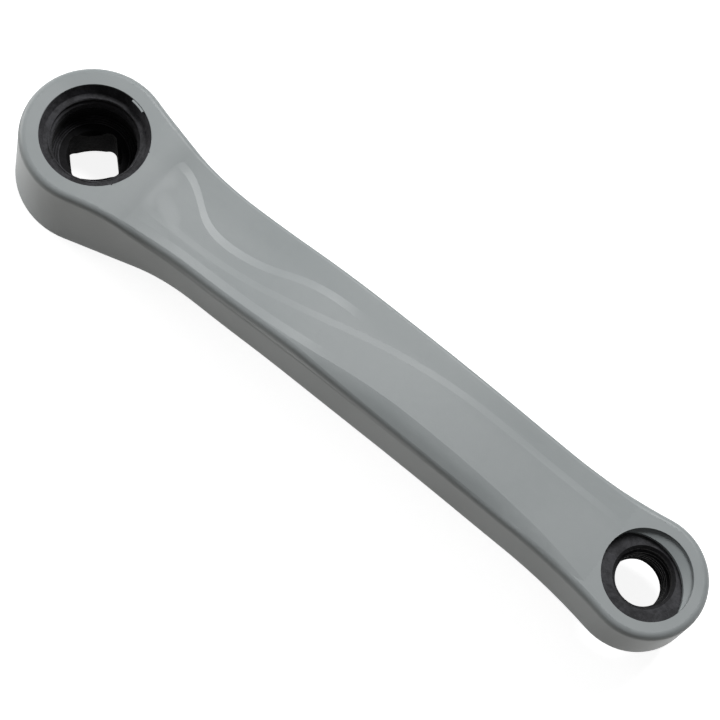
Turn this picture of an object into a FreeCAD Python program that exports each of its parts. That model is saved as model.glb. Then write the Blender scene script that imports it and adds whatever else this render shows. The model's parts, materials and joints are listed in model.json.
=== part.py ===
import FreeCAD, Part
import math
import os

from FreeCAD import Vector as V

# Left bicycle crank arm of the square-taper kind: a forged steel core with a grey plastic
# jacket moulded round it.  Sizes in millimetres.
# X runs from the bottom bracket axis to the pedal axis, Z points to the front of the arm, the
# side away from the bicycle.  The origin is the centre of the core's rear boss face, on the
# bottom bracket axis.

centre_distance = 170.0

# Steel core, boss at the bottom bracket, its front turned out to a cone inside a thin rim that
# ends just below the front of the jacket
boss_radius = 15.6
boss_rim_depth = 0.5
boss_rim_chamfer = 1.2
boss_recess_radius = 13.6
boss_land_radius = 12.6
boss_land_height = 21.2
boss_edge = 0.6

# Extractor thread M22 x 1 in the front of the boss, and the seat for the bolt's washer
extractor_major_radius = 11.0
extractor_chamfer = 0.1
extractor_depth = 9.0
washer_seat_radius = 8.7
washer_seat_step = 0.5

# Square taper hole
square_across_flats = 12.7
square_taper_degrees = 2.0
square_corner_radius = 2.0
square_lead_in = 1.0

# Steel core, arm between the two ends
core_head_radius = 15.0
core_neck_radius = 90.0
core_half_width = 8.8
core_tail_blend = 120.0
core_tail_radius = 11.8
core_front_cover = 3.4
core_back_cover = 2.2
core_edge_chamfer = 1.2

# Steel core, pedal eye with its 9/16 in x 20 thread
eye_radius = 12.3
eye_front = 19.2
eye_edge = 0.4
pedal_major_radius = 7.144
pedal_chamfer = 0.7

# Plastic jacket, outline seen from the front
jacket_front = 24.0
head_radius = 18.5
neck_radius = 120.0
arm_half_width = 12.5
tail_blend_radius = 150.0
tail_radius = 15.4
wall_draft_degrees = 3.0
front_edge_radius = 1.8
back_edge_radius = 1.4

# Plastic jacket, front edge seen from the side: down to the neck, up the arch, down to the pedal
neck_dip = 2.5
dip_start = 11.0
dip_end = 30.0
arch_rise = 2.2
arch_start = 34.0
arch_end = 82.0
tail_drop = 1.7
drop_start = 90.0
drop_end = 164.0

# Plastic jacket, back seen from the side: up the ramp behind the boss, then nearly straight
jacket_boss_back = 0.6
ramp_height = 8.2
ramp_start = 4.0
ramp_end = 45.0
back_lift = 0.9
lift_end = 72.0
back_fall = 1.6
fall_start = 98.0
fall_end = 155.0

# Plastic jacket, sculpted front of the arm, raised from the plain front.  Its lower side rolls
# over in a bevel that is widest and steepest at the middle of the arm, then rounds into the wall.
sculpture_start = 12.0
sculpture_end = 164.0
sculpture_fade = 18.0
sculpture_overlap = 0.05
sculpture_root = 4.0
sculpture_sections = 28
skin_height = 0.15
upper_edge_radius = 1.1
bevel_depth = 1.4
bevel_first_degrees = 5.0
bevel_last_degrees = 24.0
bevel_neck_degrees = 3.0
bevel_arm_inset = 5.6
bevel_neck_inset = 1.9
bevel_start = 56.0
bevel_widest = 104.0
bevel_narrowing = 112.0
bevel_end = 184.0

# Crease from the boss down to the middle and up again, a step up to the lower side
crease_step = 0.4
crease_dip = 0.08
crease_half_width = 1.1
crease_high_y = 8.6
crease_low_y = -0.6
crease_far_y = 5.2
crease_last_y = 8.8
crease_start = 18.0
crease_bend = 42.0
crease_end = 74.0
crease_last = 110.0
crease_rise_start = 19.0
crease_rise_end = 27.0
crease_fade_out = 14.0

# Ridge line from the lower side of the neck to the upper side of the pedal eye, a finer step up
ridge_step = 0.09
ridge_half_width = 0.9
ridge_low_y = -5.8
ridge_high_y = 6.1
ridge_start = 34.0
ridge_end = 120.0
ridge_fade = 12.0
ridge_last = 162.0

# Low shoulder beside the neck, a last step up before the bevel
shoulder_step = 0.16
shoulder_width = 2.2
shoulder_start = 24.0
shoulder_full = 36.0
shoulder_fade_start = 66.0
shoulder_end = 82.0

# Openings of the jacket over the two ends of the core.  Under its rim the pedal's has a sloping
# ledge towards the upper side only, left by a wider core pin that stood well off-centre.
head_opening_radius = 13.7
tail_opening_radius = 11.4
ledge_radius = 13.0
ledge_offset = 4.4
ledge_degrees = 68.0
ledge_slope_degrees = 19.0
ledge_thickness = 1.1

# Flash left on the rim of the head's opening, a thin tab, and two nicks where it broke off
flash_reach = 0.65
flash_thickness = 0.3
flash_start_degrees = 70.0
flash_sweep_degrees = 17.0
nick_radius = 0.22
nick_degrees = (22.0, -33.0)

cutter_margin = 1.0

# Heights that follow from the sizes above
boss_rim_height = jacket_front - boss_rim_depth
neck_front = jacket_front - neck_dip
arch_front = neck_front + arch_rise
tail_front = arch_front - tail_drop
ramp_top = jacket_boss_back + ramp_height
arm_back = ramp_top + back_lift
tail_back = arm_back - back_fall
front_levels = [(dip_start, jacket_front), (dip_end, neck_front), (arch_start, neck_front),
                (arch_end, arch_front), (drop_start, arch_front), (drop_end, tail_front)]
back_levels = [(ramp_start, jacket_boss_back), (ramp_end, ramp_top), (lift_end, arm_back),
               (fall_start, arm_back), (fall_end, tail_back)]
eye_back = tail_back - eye_edge
washer_seat_height = boss_land_height - extractor_depth - washer_seat_step
skin_levels = [(arch_start, skin_height), (arch_end, skin_height + bevel_depth),
               (drop_start, skin_height + bevel_depth), (drop_end, skin_height)]


def sway(x, levels):
    """Value at x of a line that runs level, then sways to the next level in two equal arcs."""
    if x <= levels[0][0]:
        return levels[0][1]
    for (x0, v0), (x1, v1) in zip(levels, levels[1:]):
        if x <= x1:
            rise = v1 - v0
            if rise == 0:
                return v0
            radius = ((x1 - x0) ** 2 + rise ** 2) / (4 * abs(rise))
            from_end = min(x - x0, x1 - x)
            bend = math.copysign(radius - math.sqrt(radius ** 2 - from_end ** 2), rise)
            return v0 + bend if x - x0 < x1 - x else v1 - bend
    return levels[-1][1]


def sway_edges(levels, start, end, y, shift):
    """The same line as edges seen from the side: straight where level, two tangent arcs between."""
    corners = [(start, levels[0][1])] + levels + [(end, levels[-1][1])]
    edges = []
    for (x0, z0), (x1, z1) in zip(corners, corners[1:]):
        stops = [x0, x1] if z0 == z1 else [x0, (x0 + x1) / 2, x1]
        for a, b in zip(stops, stops[1:]):
            p, m, q = [V(x, y, sway(x, levels) + shift) for x in (a, (a + b) / 2, b)]
            edges.append(Part.makeLine(p, q) if z0 == z1 else Part.Arc(p, m, q).toShape())
    return edges


def slab(bottom_edges, top_edges, depth):
    """Solid between two side views of an arm, both drawn from the head to the tail."""
    head_low, head_high = [e[0].valueAt(e[0].FirstParameter) for e in (bottom_edges, top_edges)]
    tail_low, tail_high = [e[-1].valueAt(e[-1].LastParameter) for e in (bottom_edges, top_edges)]
    ends = [Part.makeLine(head_low, head_high), Part.makeLine(tail_low, tail_high)]
    outline = Part.Wire(Part.__sortEdges__(bottom_edges + top_edges + ends))
    return Part.Face(outline).extrude(V(0, depth, 0))


def two_eye_outline(big_r, neck_r, half_width, tail_blend_r, small_r, z):
    """Outline of an arm with two round ends, symmetric about X, as tangent arcs and lines."""
    neck_x = math.sqrt((big_r + neck_r) ** 2 - (half_width + neck_r) ** 2)
    neck_y = half_width + neck_r
    big_angle = math.atan2(neck_y, neck_x)
    blend_x = centre_distance - math.sqrt((small_r + tail_blend_r) ** 2 - (half_width + tail_blend_r) ** 2)
    blend_y = half_width + tail_blend_r
    small_angle = math.atan2(blend_y, blend_x - centre_distance)
    neck_half = (math.pi / 2 + big_angle) / 2
    blend_half = (math.pi / 2 + math.pi - small_angle) / 2

    def side(s):
        leave_head = V(big_r * math.cos(big_angle), s * big_r * math.sin(big_angle), z)
        neck_middle = V(neck_x - neck_r * math.cos(neck_half), s * (neck_y - neck_r * math.sin(neck_half)), z)
        neck_end = V(neck_x, s * half_width, z)
        blend_start = V(blend_x, s * half_width, z)
        blend_middle = V(blend_x + tail_blend_r * math.cos(blend_half),
                         s * (blend_y - tail_blend_r * math.sin(blend_half)), z)
        meet_tail = V(centre_distance + small_r * math.cos(small_angle),
                      s * small_r * math.sin(small_angle), z)
        return leave_head, neck_middle, neck_end, blend_start, blend_middle, meet_tail

    upper, lower = side(1), side(-1)
    edges = [Part.Arc(upper[0], V(-big_r, 0, z), lower[0]).toShape(),
             Part.Arc(upper[5], V(centre_distance + small_r, 0, z), lower[5]).toShape()]
    for p in (upper, lower):
        edges += [Part.Arc(p[0], p[1], p[2]).toShape(), Part.makeLine(p[2], p[3]),
                  Part.Arc(p[3], p[4], p[5]).toShape()]
    return Part.Wire(Part.__sortEdges__(edges))


def revolved(points, axis_x):
    """Ring or cylinder turned about a vertical axis from (radius, height) points."""
    ring = [V(axis_x + r, 0, z) for r, z in points]
    face = Part.Face(Part.makePolygon(ring + ring[:1]))
    return face.revolve(V(axis_x, 0, 0), V(0, 0, 1), 360.0)


def edges_between_wall_and(shape, facing):
    """Edges where a side wall meets a face that looks to the front (1) or back (-1)."""
    found = []
    for edge in shape.Edges:
        faces = shape.ancestorsOfType(edge, Part.Face)
        if len(faces) != 2:
            continue
        middle = edge.valueAt((edge.FirstParameter + edge.LastParameter) / 2)
        tilts = sorted((f.normalAt(*f.Surface.parameter(middle)).z * facing for f in faces), key=abs)
        if abs(tilts[0]) < 0.3 and tilts[1] > 0.5:
            found.append(edge)
    return found


def drafted_walls():
    """Side walls of the jacket: widest at the back, leaning in towards the front."""
    lean = math.tan(math.radians(wall_draft_degrees))
    rings = []
    for z in (jacket_boss_back - cutter_margin, arch_front + cutter_margin):
        grow = (jacket_front - z) * lean
        rings.append(two_eye_outline(head_radius + grow, neck_radius - grow, arm_half_width + grow,
                                     tail_blend_radius - grow, tail_radius + grow, z))
    return Part.makeLoft(rings, True, True)


def jacket_half_width(x):
    """Half the width of the jacket's front outline at x."""
    neck_y = arm_half_width + neck_radius
    neck_x = math.sqrt((head_radius + neck_radius) ** 2 - neck_y ** 2)
    blend_y = arm_half_width + tail_blend_radius
    blend_reach = math.sqrt((tail_radius + tail_blend_radius) ** 2 - blend_y ** 2)
    from_blend = x - (centre_distance - blend_reach)
    if x < neck_x * head_radius / (head_radius + neck_radius):
        return math.sqrt(head_radius ** 2 - x ** 2)
    if x < neck_x:
        return neck_y - math.sqrt(neck_radius ** 2 - (neck_x - x) ** 2)
    if from_blend < 0:
        return arm_half_width
    if from_blend < blend_reach * tail_blend_radius / (tail_radius + tail_blend_radius):
        return blend_y - math.sqrt(tail_blend_radius ** 2 - from_blend ** 2)
    return math.sqrt(tail_radius ** 2 - (centre_distance - x) ** 2)


def sculpture_section(x):
    """Raised front of the arm cut across at x, from its upper edge to its lower one.

    The surface steps up at the crease, at the ridge line and at the shoulder, and the bevel rolls
    over into the rounded front edge."""
    crease_y = sway(x, [(crease_start, crease_high_y), (crease_bend, crease_low_y),
                        (crease_end, crease_far_y), (crease_last, crease_last_y)])
    crease_sharp = sway(x, [(crease_rise_start, 0.0), (crease_rise_end, 1.0),
                            (crease_end - crease_fade_out / 2, 1.0), (crease_end + crease_fade_out / 2, 0.0)])
    ridge_y = sway(x, [(ridge_start, ridge_low_y), (ridge_end, ridge_high_y)])
    ridge_sharp = sway(x, [(ridge_start - ridge_fade, 0.0), (ridge_start, 1.0),
                           (ridge_last - ridge_fade, 1.0), (ridge_last, 0.0)])
    shoulder = shoulder_step * sway(x, [(shoulder_start, 0.0), (shoulder_full, 1.0),
                                        (shoulder_fade_start, 1.0), (shoulder_end, 0.0)])
    arm_share = sway(x, [(bevel_start, 0.0), (bevel_widest, 1.0), (bevel_narrowing, 1.0), (bevel_end, 0.0)])
    bevel_inset = bevel_neck_inset + (bevel_arm_inset - bevel_neck_inset) * arm_share
    first_tilt = math.radians(bevel_first_degrees * arm_share)
    last_tilt = math.radians(bevel_neck_degrees + (bevel_last_degrees - bevel_neck_degrees) * arm_share)
    edge_radius = sway(x, [(sculpture_start, front_edge_radius),
                           (sculpture_start + sculpture_fade, upper_edge_radius),
                           (sculpture_end - sculpture_fade, upper_edge_radius),
                           (sculpture_end, front_edge_radius)])
    sunk = (skin_height + sculpture_overlap) * (
        sway(x, [(sculpture_start, 1.0), (sculpture_start + sculpture_fade, 0.0)])
        + sway(x, [(sculpture_end - sculpture_fade, 0.0), (sculpture_end, 1.0)]))
    skin = sway(x, skin_levels)
    half_width = jacket_half_width(x)

    def at(y, z):
        return V(x, y, sway(x, front_levels) - sunk + z)

    # Up the steps, each a narrow slope between two nearly level stretches.
    crease_foot = skin - crease_sharp * crease_dip
    crease_top = crease_foot + crease_sharp * crease_step
    ridge_top = crease_top + ridge_sharp * ridge_step
    bevel_y = bevel_inset - half_width
    bevel_z = ridge_top + shoulder
    upper_y = half_width - sculpture_overlap
    across = [at(upper_y - edge_radius, skin), at(crease_y + crease_half_width, crease_foot),
              at(crease_y - crease_half_width, crease_top), at(ridge_y + ridge_half_width, crease_top),
              at(ridge_y - ridge_half_width, ridge_top), at(bevel_y + shoulder_width, ridge_top),
              at(bevel_y, bevel_z)]

    # The bevel is an arc from its first tilt to its last, and the edge's round goes on from there
    # until it stands upright, just inside the jacket's wall.
    round_reach = front_edge_radius * (1 - math.sin(last_tilt))
    bevel_reach = bevel_inset - sculpture_overlap - round_reach
    bevel_radius = bevel_reach / (math.sin(last_tilt) - math.sin(first_tilt))
    centre_y = bevel_y + bevel_radius * math.sin(first_tilt)
    centre_z = bevel_z - bevel_radius * math.cos(first_tilt)
    round_y = centre_y - (bevel_radius - front_edge_radius) * math.sin(last_tilt)
    round_z = centre_z + (bevel_radius - front_edge_radius) * math.cos(last_tilt)

    def on_bevel(tilt):
        return at(centre_y - bevel_radius * math.sin(tilt), centre_z + bevel_radius * math.cos(tilt))

    def on_round(tilt):
        return at(round_y - front_edge_radius * math.sin(tilt), round_z + front_edge_radius * math.cos(tilt))

    corner_y = upper_y - edge_radius * (1 - math.sqrt(0.5))
    corner_z = skin - edge_radius * (1 - math.sqrt(0.5))
    upright = math.pi / 2
    under = [on_round(upright), at(round_y - front_edge_radius, -sculpture_root),
             at(upper_y, -sculpture_root), at(upper_y, skin - edge_radius)]
    edges = [Part.makeLine(a, b) for a, b in zip(across, across[1:])]
    edges.append(Part.Arc(across[-1], on_bevel((first_tilt + last_tilt) / 2), on_bevel(last_tilt)).toShape())
    edges.append(Part.Arc(on_bevel(last_tilt), on_round((last_tilt + upright) / 2), under[0]).toShape())
    edges += [Part.makeLine(a, b) for a, b in zip(under, under[1:])]
    edges.append(Part.Arc(under[-1], at(corner_y, corner_z), across[0]).toShape())
    return Part.Wire(edges)


def square_taper_hole():
    """Square hole on its corner, tapered on each side, widest at the back, with round corners."""
    rings = []
    for z in (-cutter_margin, washer_seat_height + cutter_margin):
        half = square_across_flats / 2 - z * math.tan(math.radians(square_taper_degrees))
        corners = [V(half, half, z), V(-half, half, z), V(-half, -half, z), V(half, -half, z)]
        rings.append(Part.makePolygon(corners + corners[:1]))
    hole = Part.makeLoft(rings, True, True)
    upright = [e for e in hole.Edges if abs(e.tangentAt(e.FirstParameter).z) > 0.5]
    hole = hole.makeFillet(square_corner_radius, upright)
    hole.rotate(V(0, 0, 0), V(0, 0, 1), 45.0)
    return hole


# Steel core: one forging, its boss, arm and pedal eye in one piece.
arm_start = -head_radius - tail_radius
arm_end = centre_distance + head_radius + tail_radius
core_outline = two_eye_outline(core_head_radius, core_neck_radius, core_half_width,
                               core_tail_blend, core_tail_radius, 0.0)
core_bar = Part.Face(core_outline).extrude(V(0, 0, arch_front))
core_bar = core_bar.common(slab(sway_edges(back_levels, arm_start, arm_end, -head_radius, core_back_cover),
                                sway_edges(front_levels, arm_start, arm_end, -head_radius, -core_front_cover),
                                2 * head_radius))
core_edges = edges_between_wall_and(core_bar, 1) + edges_between_wall_and(core_bar, -1)
core_bar = core_bar.makeChamfer(core_edge_chamfer, core_edges)
boss = revolved([(0, 0), (boss_radius - boss_edge, 0), (boss_radius, boss_edge),
                 (boss_radius, boss_rim_height - boss_rim_chamfer),
                 (boss_radius - boss_rim_chamfer, boss_rim_height), (0, boss_rim_height)], 0.0)
eye = revolved([(0, eye_back), (eye_radius - eye_edge, eye_back), (eye_radius, eye_back + eye_edge),
                (eye_radius, eye_front), (0, eye_front)], centre_distance)
forging = core_bar.fuse([boss, eye]).removeSplitter()

# Machined afterwards: the boss's cone, the extractor thread's bore with its chamfer, the washer
# seat, the square hole with a lead-in at both ends, and the pedal thread's bore chamfered on both
# sides.  Both bores have the thread's full radius.
extractor_mouth = extractor_major_radius + extractor_chamfer
extractor_bore = revolved([(0, washer_seat_height), (washer_seat_radius, washer_seat_height),
                           (washer_seat_radius, washer_seat_height + washer_seat_step),
                           (extractor_major_radius, washer_seat_height + washer_seat_step),
                           (extractor_major_radius, boss_land_height - extractor_chamfer),
                           (extractor_mouth, boss_land_height), (boss_land_radius, boss_land_height),
                           (boss_recess_radius, boss_rim_height),
                           (boss_recess_radius, boss_rim_height + cutter_margin),
                           (0, boss_rim_height + cutter_margin)], 0.0)
half_at_seat = square_across_flats / 2 - washer_seat_height * math.tan(math.radians(square_taper_degrees))
lead_depth = square_lead_in + cutter_margin
front_lead = revolved([(0, washer_seat_height + cutter_margin),
                       (half_at_seat + square_lead_in, washer_seat_height + cutter_margin),
                       (half_at_seat + square_lead_in, washer_seat_height),
                       (half_at_seat - cutter_margin, washer_seat_height - lead_depth),
                       (0, washer_seat_height - lead_depth)], 0.0)
half_at_back = square_across_flats / 2
back_lead = revolved([(0, -cutter_margin), (half_at_back + square_lead_in, -cutter_margin),
                      (half_at_back + square_lead_in, 0), (half_at_back - cutter_margin, lead_depth),
                      (0, lead_depth)], 0.0)
pedal_mouth = pedal_major_radius + pedal_chamfer
pedal_bore = revolved([(0, eye_back - cutter_margin), (pedal_mouth, eye_back - cutter_margin),
                       (pedal_mouth, eye_back), (pedal_major_radius, eye_back + pedal_chamfer),
                       (pedal_major_radius, eye_front - pedal_chamfer), (pedal_mouth, eye_front),
                       (pedal_mouth, eye_front + cutter_margin), (0, eye_front + cutter_margin)],
                      centre_distance)
steel_arm = forging.cut([extractor_bore, square_taper_hole(), front_lead, back_lead, pedal_bore])

# Plastic jacket: moulded round the core, open over both eyes and behind them.
jacket_side = slab(sway_edges(back_levels, arm_start, arm_end, -head_radius - tail_radius, 0.0),
                   sway_edges(front_levels, arm_start, arm_end, -head_radius - tail_radius, 0.0),
                   2 * (head_radius + tail_radius))
moulding = drafted_walls().common(jacket_side)
moulding = moulding.makeFillet(front_edge_radius, edges_between_wall_and(moulding, 1))
moulding = moulding.makeFillet(back_edge_radius, edges_between_wall_and(moulding, -1))
sculpture_step = (sculpture_end - sculpture_start) / sculpture_sections
sculpture = Part.makeLoft([sculpture_section(sculpture_start + sculpture_step * k)
                           for k in range(sculpture_sections + 1)], True, False)
clear_height = arch_front + skin_height + bevel_depth + cutter_margin
head_opening = revolved([(0, boss_rim_height), (head_opening_radius, boss_rim_height),
                         (head_opening_radius, clear_height), (0, clear_height)], 0.0)
flash_inner = head_opening_radius - flash_reach
flash_outer = head_opening_radius + cutter_margin
flash_corners = [V(r, 0, z) for r, z in ((flash_inner, boss_rim_height), (flash_outer, boss_rim_height),
                                         (flash_outer, boss_rim_height + flash_thickness),
                                         (flash_inner, boss_rim_height + flash_thickness))]
flash = Part.Face(Part.makePolygon(flash_corners + flash_corners[:1]))
flash.rotate(V(0, 0, 0), V(0, 0, 1), flash_start_degrees)
flash = flash.revolve(V(0, 0, 0), V(0, 0, 1), flash_sweep_degrees)
nicks = []
for degrees in nick_degrees:
    towards = math.radians(degrees)
    place = V(head_opening_radius * math.cos(towards), head_opening_radius * math.sin(towards),
              boss_rim_height)
    nicks.append(Part.makeCylinder(nick_radius, clear_height - boss_rim_height, place))
tail_centre = V(centre_distance, 0, 0)
towards = math.radians(ledge_degrees)
pin_foot = tail_centre - V(math.cos(towards), math.sin(towards), 0) * ledge_offset
pin_foot.z = eye_front - cutter_margin
ledge_foot = V(pin_foot.x, pin_foot.y, eye_front + ledge_thickness)
cone_height = clear_height - ledge_foot.z
cone_radius = ledge_radius + cone_height / math.tan(math.radians(ledge_slope_degrees))
core_pin = Part.makeCylinder(ledge_radius, ledge_foot.z - pin_foot.z, pin_foot).fuse(
    Part.makeCone(ledge_radius, cone_radius, cone_height, ledge_foot))
tail_opening = Part.makeCylinder(tail_opening_radius, clear_height - pin_foot.z,
                                 tail_centre + V(0, 0, pin_foot.z)).common(core_pin)
plastic_jacket = moulding.fuse(sculpture).cut([forging, head_opening.cut(flash), tail_opening] + nicks)

os.makedirs("parts", exist_ok=True)
for name, shape in (("steel_arm", steel_arm), ("plastic_jacket", plastic_jacket)):
    print(name, shape.isValid(), len(shape.Solids), round(shape.Volume, 1), len(shape.Faces))
    shape.exportStep("parts/" + name + ".step")
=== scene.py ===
import json
import math

import bpy
from mathutils import Euler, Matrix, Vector


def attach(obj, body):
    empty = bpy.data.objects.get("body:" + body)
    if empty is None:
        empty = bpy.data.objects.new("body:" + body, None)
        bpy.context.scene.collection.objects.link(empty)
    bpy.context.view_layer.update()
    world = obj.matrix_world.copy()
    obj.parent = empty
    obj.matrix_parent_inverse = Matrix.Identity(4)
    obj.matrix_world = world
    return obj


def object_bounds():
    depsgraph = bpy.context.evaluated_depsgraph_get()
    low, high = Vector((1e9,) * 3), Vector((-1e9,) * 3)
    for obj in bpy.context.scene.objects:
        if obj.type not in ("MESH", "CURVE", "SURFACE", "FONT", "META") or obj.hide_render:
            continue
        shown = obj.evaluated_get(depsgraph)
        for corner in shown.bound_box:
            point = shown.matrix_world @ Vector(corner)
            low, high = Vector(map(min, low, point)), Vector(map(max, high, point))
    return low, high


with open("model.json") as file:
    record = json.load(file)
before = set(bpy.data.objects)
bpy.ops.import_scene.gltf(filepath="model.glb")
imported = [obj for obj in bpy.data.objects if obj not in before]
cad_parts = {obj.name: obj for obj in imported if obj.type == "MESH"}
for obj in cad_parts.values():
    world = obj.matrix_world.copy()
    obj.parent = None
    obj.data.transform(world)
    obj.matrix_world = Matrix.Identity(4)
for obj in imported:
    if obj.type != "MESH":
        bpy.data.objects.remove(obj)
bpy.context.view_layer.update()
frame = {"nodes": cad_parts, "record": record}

# Jacket: the grey thermoplastic skin moulded in one shot round the steel core. Satin from a
# finely etched mould and a little cloudy. Painted highlight beside the boss: a paler line across
# the neck and a stretched pale patch next to it. The middle of the front is painted paler than
# the strip along the upper edge: painted light and shade.


class Wire:
    """A node socket that Python's operators can work on."""

    def __init__(self, tree, socket):
        self.tree = tree
        self.socket = socket

    def node(self, kind, settings=(), output=0, **inputs):
        """Adds a node, sets it up, joins its inputs and gives back one output.

        An input goes by its label, with _ for a space, or by the letter i and its number.
        """
        made = self.tree.nodes.new(kind)
        for name, value in dict(settings).items():
            setattr(made, name, value)
        for name, value in inputs.items():
            key = int(name[1:]) if name[1:].isdigit() else name.replace("_", " ")
            if isinstance(value, Wire):
                self.tree.links.new(value.socket, made.inputs[key])
            else:
                made.inputs[key].default_value = value
        return Wire(self.tree, made.outputs[output])

    def beside(self, name):
        """Another output of the node that this one comes from."""
        return Wire(self.tree, self.socket.node.outputs[name])

    def maths(self, operation, *values):
        inputs = {"i%d" % i: value for i, value in enumerate(values)}
        return self.node("ShaderNodeMath", {"operation": operation}, **inputs)

    def __add__(self, other):
        return self.maths("ADD", self, other)

    def __sub__(self, other):
        return self.maths("SUBTRACT", self, other)

    def __rsub__(self, other):
        return self.maths("SUBTRACT", other, self)

    def __mul__(self, other):
        return self.maths("MULTIPLY", self, other)

    __radd__ = __add__
    __rmul__ = __mul__

    def __abs__(self):
        return self.maths("ABSOLUTE", self)

    def ramp(self, low, high, start=0.0, end=1.0):
        """Runs smoothly from start to end while the value goes from low to high."""
        return self.node("ShaderNodeMapRange", {"interpolation_type": "SMOOTHSTEP"}, Value=self,
                         From_Min=low, From_Max=high, To_Min=start, To_Max=end)

    def blend(self, first, second):
        """Mixes two colours by this value."""
        return self.node("ShaderNodeMix", {"data_type": "RGBA"}, output=2,
                         i0=self, i6=first, i7=second)


def grey(red, green, blue):
    """A colour written as seen on a screen, 0 to 255, turned into the shader's light values."""
    levels = [level / 255 for level in (red, green, blue)]
    return tuple(level / 12.92 if level < 0.04045 else ((level + 0.055) / 1.055) ** 2.4
                 for level in levels) + (1.0,)


def start_material(name):
    """A new material, the places on the piece as the start of its wiring, and its shader."""
    material = bpy.data.materials.new(name)
    material.use_nodes = True
    tree = material.node_tree
    tree.nodes.clear()
    shader = tree.nodes.new("ShaderNodeBsdfPrincipled")
    output = tree.nodes.new("ShaderNodeOutputMaterial")
    tree.links.new(shader.outputs[0], output.inputs["Surface"])
    place = Wire(tree, tree.nodes.new("ShaderNodeTexCoord").outputs["Object"])
    return material, place, shader


def noise(place, scale, detail, roughness):
    return place.node("ShaderNodeTexNoise", Vector=place, Scale=scale, Detail=detail,
                      Roughness=roughness)


def feed(shader, name, wire):
    wire.tree.links.new(wire.socket, shader.inputs[name])


def dress(node, material):
    """Puts a material on one of the part's own solids and gives the solid back."""
    solid = frame["nodes"][node]
    solid.data.materials.clear()
    solid.data.materials.append(material)
    return solid


# Painted highlight: a pale line across the neck and a stretched pale patch beside it.
highlight_line_x, highlight_line_half_width = 0.0235, 0.0022
highlight_patch_x, highlight_patch_y = 0.028, -0.0015
highlight_patch_cos, highlight_patch_sin = 0.87, 0.49
highlight_patch_stretch, highlight_patch_reach = 0.36, 0.0000075

plastic, place, shader = start_material("grey_moulded_plastic")
clouds = noise(place, 55.0, 4.0, 0.55)
etch = noise(place, 2600.0, 3.0, 0.6)
scuffs = noise(place, 420.0, 6.0, 0.65)

apart = place.node("ShaderNodeSeparateXYZ", Vector=place)
along = apart + clouds * 0.006
across = apart.beside("Y") + clouds * 0.003
# Mask of the painted highlight line across the neck.
painted_highlight_line = abs(along - highlight_line_x).ramp(0.0, highlight_line_half_width, 1.0, 0.0)
painted_highlight_line = painted_highlight_line * across.ramp(-0.007, -0.002) * across.ramp(0.004, 0.009, 1.0, 0.0)
off_x, off_y = along - highlight_patch_x, across - highlight_patch_y
patch_along = (off_x * highlight_patch_cos - off_y * highlight_patch_sin) * highlight_patch_stretch
patch_across = off_x * highlight_patch_sin + off_y * highlight_patch_cos
# Mask of the stretched painted highlight patch.
painted_highlight_patch = (patch_along * patch_along + patch_across * patch_across).ramp(
    0.0, highlight_patch_reach, 0.8, 0.0)
painted_highlights = painted_highlight_line.maths("MAXIMUM", painted_highlight_line, painted_highlight_patch)

# Random cloudy tone, plus painted light and shade: the middle of the front is painted paler than
# the strip along the upper edge.
cloud_tone_and_painted_shade = ((clouds * 0.7 + scuffs * 0.3).ramp(0.35, 0.65) * 0.35
            + across.ramp(0.0095, 0.0035, 0.0, 0.55))
grey_with_painted_shade = cloud_tone_and_painted_shade.blend(grey(146, 152, 153), grey(158, 163, 164))
# The painted highlights go over the grey as a paler colour.
feed(shader, "Base Color", painted_highlights.blend(grey_with_painted_shade, grey(164, 169, 170)))
feed(shader, "Roughness", clouds.ramp(0.3, 0.7, 0.42, 0.49) + (etch - 0.5) * 0.08)
feed(shader, "Normal", etch.node("ShaderNodeBump", Height=etch + scuffs * 0.6,
                                 Strength=0.10, Distance=0.00008))
shader.inputs["IOR"].default_value = 1.49
shader.inputs["Specular IOR Level"].default_value = 0.5
dress("plastic_jacket", plastic)

# Core: one steel forging, dipped in black coating before the jacket is moulded on. The coating
# is thick and black in the bores, thin and rubbed grey on the flat rings that a tool or a washer
# has touched. Down in the square hole the black is painted darker still: painted shade.
land_low, land_high = 0.0207, 0.0211
eye_low, eye_high = 0.0165, 0.0178
seat_low, seat_high = 0.0116, 0.0132

steel, place, shader = start_material("black_coated_steel")
grain = noise(place, 900.0, 5.0, 0.7)
runs = noise(place, 160.0, 3.0, 0.5)
height = place.node("ShaderNodeSeparateXYZ", Vector=place).beside("Z")
facing = place.node("ShaderNodeNewGeometry", output="Normal")
upward = facing.node("ShaderNodeSeparateXYZ", Vector=facing).beside("Z").ramp(0.6, 0.95)

washer_seat = (upward * height.ramp(seat_low, seat_low + 0.0004)
               * height.ramp(seat_high - 0.0004, seat_high, 1.0, 0.0))
rings = height.ramp(land_low, land_high) + upward * height.ramp(eye_low, eye_high) + washer_seat
mottling = (grain * 0.5 + runs * 0.6).ramp(0.42, 0.66, 0.35, 1.0)
rubbed = rings.maths("MINIMUM", rings, 1.0) * mottling
# Painted shade: below the top of the square hole the black is made darker, and the steel is also
# made rougher there.
above_painted_square_shade = height.ramp(0.0105, 0.0135)
black = above_painted_square_shade.blend(grey(7, 7, 8), grey(31, 31, 32))
feed(shader, "Base Color", rubbed.blend(black, grey(76, 76, 79)))
feed(shader, "Roughness", rubbed * 0.15 + (0.9 - above_painted_square_shade * 0.38) + runs * 0.12)
feed(shader, "Normal", grain.node("ShaderNodeBump", Height=grain + runs * 1.5,
                                  Strength=0.8, Distance=0.0004))
shader.inputs["IOR"].default_value = 1.45
shader.inputs["Specular IOR Level"].default_value = 0.16
dress("steel_arm", steel)

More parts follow.
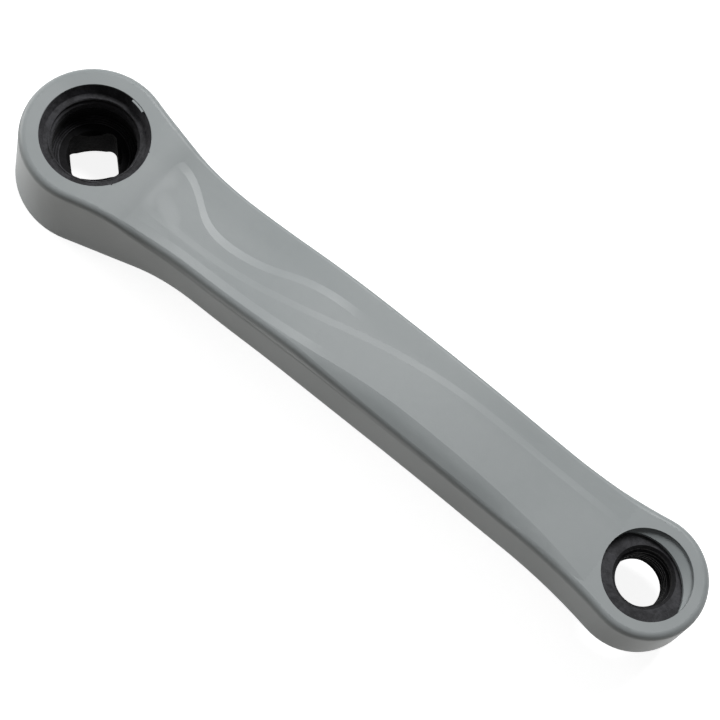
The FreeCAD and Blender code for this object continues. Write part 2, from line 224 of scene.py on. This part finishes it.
# Threads: cut in the two bores after forging, right-hand M22 x 1 for the extractor and left-hand
# 9/16 in x 20 for the pedal. Each is a wound ridge standing on its bore's wall, its crest blunted
# by the black coating.
extractor_pitch, pedal_pitch = 0.001, 0.00127
crest_over_pitch = 0.5413
ridge_profile = ((0.0, -0.46), (1.0, -0.12), (1.0, 0.12), (0.0, 0.46))
steps_a_turn = 72
run_out = 0.4
mounts = {mount["name"]: mount for mount in frame["record"]["mounts"]}


def around(x, y, radius, angle, z):
    """A place at this radius and angle about the upright line through x and y."""
    return x + radius * math.cos(angle), y + radius * math.sin(angle), z


def steel_piece(name, places, faces):
    """A small form of the core that is wound up point by point, in the core's own finish."""
    mesh = bpy.data.meshes.new(name)
    mesh.from_pydata(places, [], faces)
    mesh.materials.append(steel)
    piece = bpy.data.objects.new(name, mesh)
    bpy.context.scene.collection.objects.link(piece)
    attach(piece, "root")
    return piece


def thread_ridge(name, mount, pitch, hand):
    """The ridge on the wall of a threaded bore; hand is 1 for a right-hand thread, else -1."""
    wall = mount["dims"]["r_mm"] / 1000 + 0.00003
    x, y, middle = mount["pos_m"]
    turns = int(mount["dims"]["length_mm"] / 1000 / pitch) - 1
    steps = turns * steps_a_turn
    low = middle - turns * pitch / 2
    places, faces = [], []
    for k in range(steps + 1):
        angle = hand * 2 * math.pi * k / steps_a_turn
        nearer_end = min(k, steps - k) / (steps_a_turn * run_out)
        crest = crest_over_pitch * pitch * max(0.02, min(1.0, nearer_end))
        for inward, lengthwise in ridge_profile:
            z = low + (k / steps_a_turn + lengthwise) * pitch
            places.append(around(x, y, wall - crest * inward, angle, z))
    for k in range(steps):
        for j in range(4):
            a, b = 4 * k + j, 4 * k + (j + 1) % 4
            faces.append((a, b, b + 4, a + 4)[::hand])
    last = 4 * steps
    faces.append((3, 2, 1, 0)[::hand])
    faces.append((last, last + 1, last + 2, last + 3)[::hand])
    return steel_piece(name, places, faces)


thread_ridge("extractor_thread_ridge", mounts["extractor_thread"], extractor_pitch, 1)
thread_ridge("pedal_thread_ridge", mounts["pedal_thread"], pedal_pitch, -1)

# Marks in the boss: three fine rings that the boring tool left on the floor of the extractor
# bore, and the uneven bead that the dip coating left where it ran to the land's inner edge.
bore = mounts["extractor_thread"]
bore_radius = bore["dims"]["r_mm"] / 1000
bore_half = bore["dims"]["length_mm"] / 2000
bore_floor = bore["pos_m"][2] - bore_half
land_height = bore["pos_m"][2] + bore_half + 0.0001
turned_ring_radii = (0.0092, 0.0098, 0.0104)
turned_ring_profile = ((0.00018, -0.00001), (0.00004, 0.0002),
                       (-0.00004, 0.0002), (-0.00018, -0.00001))
bead_offset, bead_thickness, bead_height = 0.00028, 0.00016, 0.8
bead_profile_angles = (-0.5, 0.5, 1.2, 1.9, 2.6, 3.6)
steps_round = 144


def closed_ring(name, sections):
    """A ring skinned over cross-sections, each a list of places, given one after another."""
    count, width = len(sections), len(sections[0])
    places = [place for section in sections for place in section]
    faces = []
    for k in range(count):
        for j in range(width):
            a, b = width * k, width * ((k + 1) % count)
            faces.append((a + j, b + j, b + (j + 1) % width, a + (j + 1) % width))
    return steel_piece(name, places, faces)


angles = [2 * math.pi * k / steps_round for k in range(steps_round)]
for number, radius in enumerate(turned_ring_radii, 1):
    closed_ring("turned_ring_%d" % number,
                [[around(0.0, 0.0, radius + out, angle, bore_floor + rise)
                  for out, rise in turned_ring_profile] for angle in angles])

sections = []
for angle in angles:
    middle = (bore_radius + bead_offset + 0.00009 * math.sin(5 * angle + 0.7)
              + 0.00005 * math.sin(13 * angle + 2.0))
    thick = bead_thickness + 0.00006 * math.sin(3 * angle + 1.1) + 0.00004 * math.sin(11 * angle)
    sections.append([around(0.0, 0.0, middle + thick * math.cos(turn), angle,
                            land_height + thick * bead_height * math.sin(turn))
                     for turn in bead_profile_angles])
closed_ring("coating_bead", sections)

# Studio: a plain white table under one broad soft lamp and a small one at the side, with the room
# left dim, and the camera of the picture looking down on the front of the arm. The table is white
# to the eye and in reflections, and throws back less light than that on the arm.
table_size, table_gap = 3.0, 0.00005
bpy.ops.mesh.primitive_plane_add(size=table_size,
                                 location=(0.085, 0.0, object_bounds()[0][2] - table_gap))
table = bpy.context.object
table.name = "table_top"
material = bpy.data.materials.new("white_table")
material.use_nodes = True
tree = material.node_tree
tree.nodes.clear()
camera_ray = Wire(tree, tree.nodes.new("ShaderNodeLightPath").outputs["Is Camera Ray"])
glossy_ray, clear_ray = camera_ray.beside("Is Glossy Ray"), camera_ray.beside("Is Transmission Ray")
seen = camera_ray.maths("MAXIMUM", camera_ray,
                        camera_ray.maths("MAXIMUM", glossy_ray, clear_ray))
matte = seen.node("ShaderNodeBsdfDiffuse",
                  Color=seen.blend(grey(178, 171, 162), grey(228, 228, 228)))
glow = seen.node("ShaderNodeEmission", Color=(1.0, 1.0, 1.0, 1.0), Strength=seen * 0.88)
both = seen.node("ShaderNodeAddShader", i0=matte, i1=glow)
tree.links.new(both.socket, tree.nodes.new("ShaderNodeOutputMaterial").inputs["Surface"])
table.data.materials.append(material)

world = bpy.data.worlds.new("dim_room")
world.use_nodes = True
bpy.context.scene.world = world
room = world.node_tree.nodes["Background"]
room.inputs["Color"].default_value = (1.0, 1.0, 1.0, 1.0)
room.inputs["Strength"].default_value = 0.092


def soft_lamp(name, place, aim, width, depth, power):
    """A rectangular lamp at a place, turned to face its aim."""
    lamp = bpy.data.lights.new(name, "AREA")
    lamp.shape = "RECTANGLE"
    lamp.size = width
    lamp.size_y = depth
    lamp.energy = power
    holder = bpy.data.objects.new(name, lamp)
    holder.location = place
    holder.rotation_euler = (Vector(aim) - Vector(place)).to_track_quat("-Z", "Y").to_euler()
    bpy.context.scene.collection.objects.link(holder)


soft_lamp("key_softbox", place=(0.0, 0.64, 0.84), aim=(0.085, 0.0, 0.0),
          width=0.5, depth=0.4, power=9.5)
soft_lamp("side_fill", place=(-0.72, -0.06, 0.2), aim=(0.0, 0.0, 0.01),
          width=0.3, depth=0.3, power=2.6)

camera_data = bpy.data.cameras.new("camera")
camera_data.sensor_width = 36.0
camera_data.lens = 95.0
camera = bpy.data.objects.new("camera", camera_data)
camera.location = (0.12613, -0.15849, 0.44862)
camera.rotation_euler = Euler([math.radians(turn) for turn in (18.998, -8.415, 37.831)], "XYZ")
bpy.context.scene.collection.objects.link(camera)
bpy.context.scene.camera = camera
bpy.context.scene.view_settings.view_transform = "Standard"
